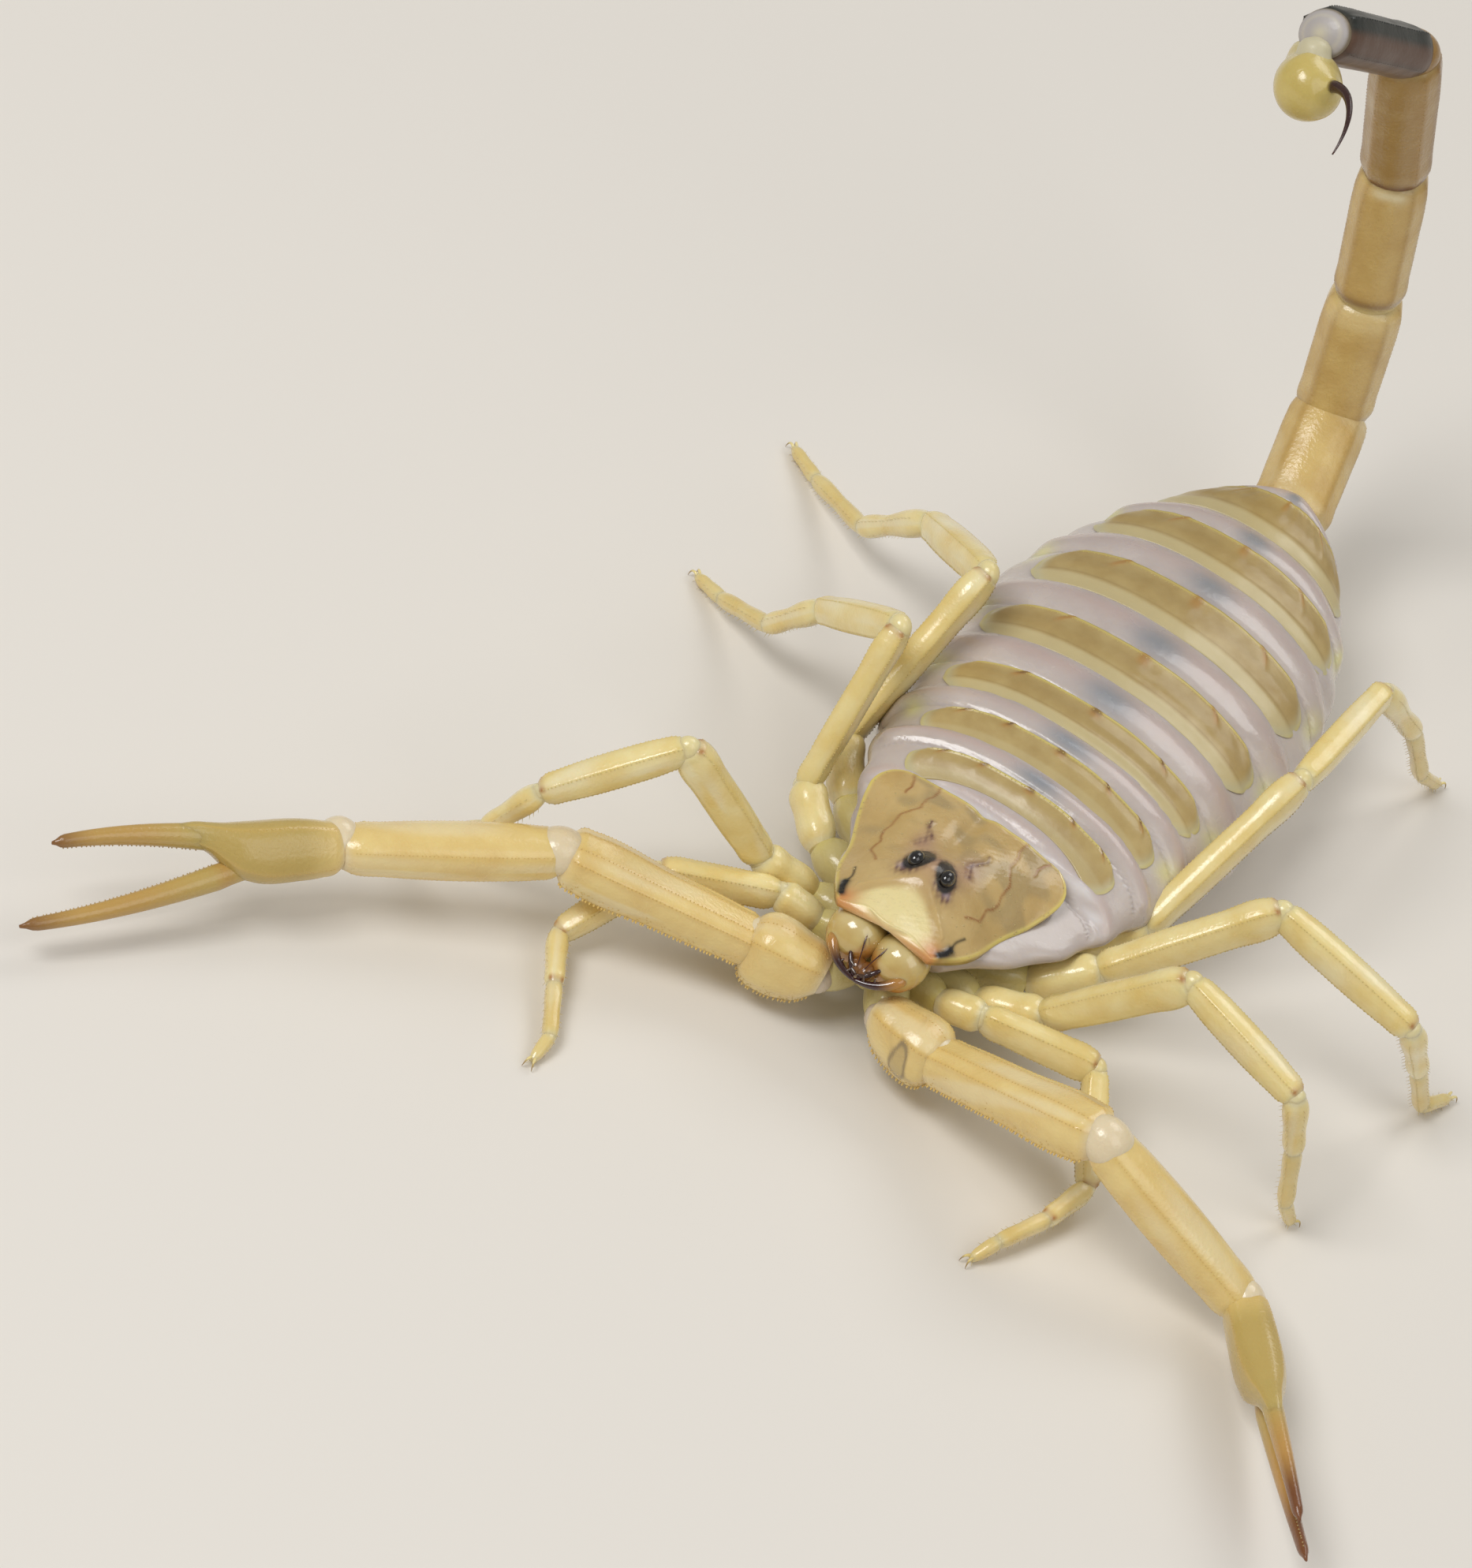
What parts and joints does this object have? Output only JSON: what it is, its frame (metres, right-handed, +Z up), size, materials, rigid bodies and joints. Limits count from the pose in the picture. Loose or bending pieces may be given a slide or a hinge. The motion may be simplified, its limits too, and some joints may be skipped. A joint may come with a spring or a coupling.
{
  "type": "desert scorpion",
  "caption": "Desert scorpion, a swollen female with stretched pale skin between the back plates, claws spread wide and the tail raised with the sting folded under its last ring.",
  "frame": {"origin": "on the ground under the middle of the animal's bounding box", "axes": "+Z is up, the head looks along -Y and the tail stands at the +Y end, +X is the animal's left"},
  "size_m": [0.0804, 0.0938, 0.0504],
  "materials": {
    "eye_black": "glossy black lens",
    "head_shield": "smooth translucent amber shell with a bright yellow rim",
    "back_ring": "olive yellow shell, finely granular, brighter yellow at the edges",
    "belly_shell": "pale yellow shell",
    "soft_membrane": "stretched grey-lilac skin, moist and translucent",
    "jaw_amber": "glassy honey shell with dark red-brown teeth",
    "tail_shell": "tan yellow keeled shell",
    "dark_tail_ring": "blackish green keeled shell",
    "sting_bulb": "glossy yellow bulb with a dark red-brown point",
    "arm_shell": "honey yellow shell with rows of granules, red-brown finger tips",
    "leg_shell": "pale translucent greenish-yellow shell"
  },
  "bodies": {
    "root": {"eye_left": "eye_black", "eye_right": "eye_black", "carapace": "head_shield", "back_plate_1": "back_ring", "back_plate_2": "back_ring", "back_plate_3": "back_ring", "back_plate_4": "back_ring", "back_plate_5": "back_ring", "back_plate_6": "back_ring", "back_plate_7": "back_ring", "belly_plate_1": "belly_shell", "belly_plate_2": "belly_shell", "belly_plate_3": "belly_shell", "belly_plate_4": "belly_shell", "hip_plates": "belly_shell", "soft_body": "soft_membrane", "jaw_left": "jaw_amber", "jaw_right": "jaw_amber", "comb_left": "belly_shell", "comb_right": "belly_shell", "tail_1": "tail_shell", "tail_2": "tail_shell", "tail_3": "tail_shell", "tail_4": "tail_shell", "tail_5": "dark_tail_ring", "sting": "sting_bulb", "arm_left_hip": "arm_shell", "arm_left_upper": "arm_shell", "arm_left_fore": "arm_shell", "arm_left_hand": "arm_shell", "arm_left_finger": "arm_shell", "arm_right_hip": "arm_shell", "arm_right_upper": "arm_shell", "arm_right_fore": "arm_shell", "arm_right_hand": "arm_shell", "arm_right_finger": "arm_shell", "leg_left_1_thigh": "leg_shell", "leg_left_1_knee": "leg_shell", "leg_left_1_foot": "leg_shell", "leg_left_2_thigh": "leg_shell", "leg_left_2_knee": "leg_shell", "leg_left_2_foot": "leg_shell", "leg_left_3_thigh": "leg_shell", "leg_left_3_knee": "leg_shell", "leg_left_3_foot": "leg_shell", "leg_left_4_thigh": "leg_shell", "leg_left_4_knee": "leg_shell", "leg_left_4_foot": "leg_shell", "leg_right_1_thigh": "leg_shell", "leg_right_1_knee": "leg_shell", "leg_right_1_foot": "leg_shell", "leg_right_2_thigh": "leg_shell", "leg_right_2_knee": "leg_shell", "leg_right_2_foot": "leg_shell", "leg_right_3_thigh": "leg_shell", "leg_right_3_knee": "leg_shell", "leg_right_3_foot": "leg_shell", "leg_right_4_thigh": "leg_shell", "leg_right_4_knee": "leg_shell", "leg_right_4_foot": "leg_shell"}
  },
  "joints": []
}
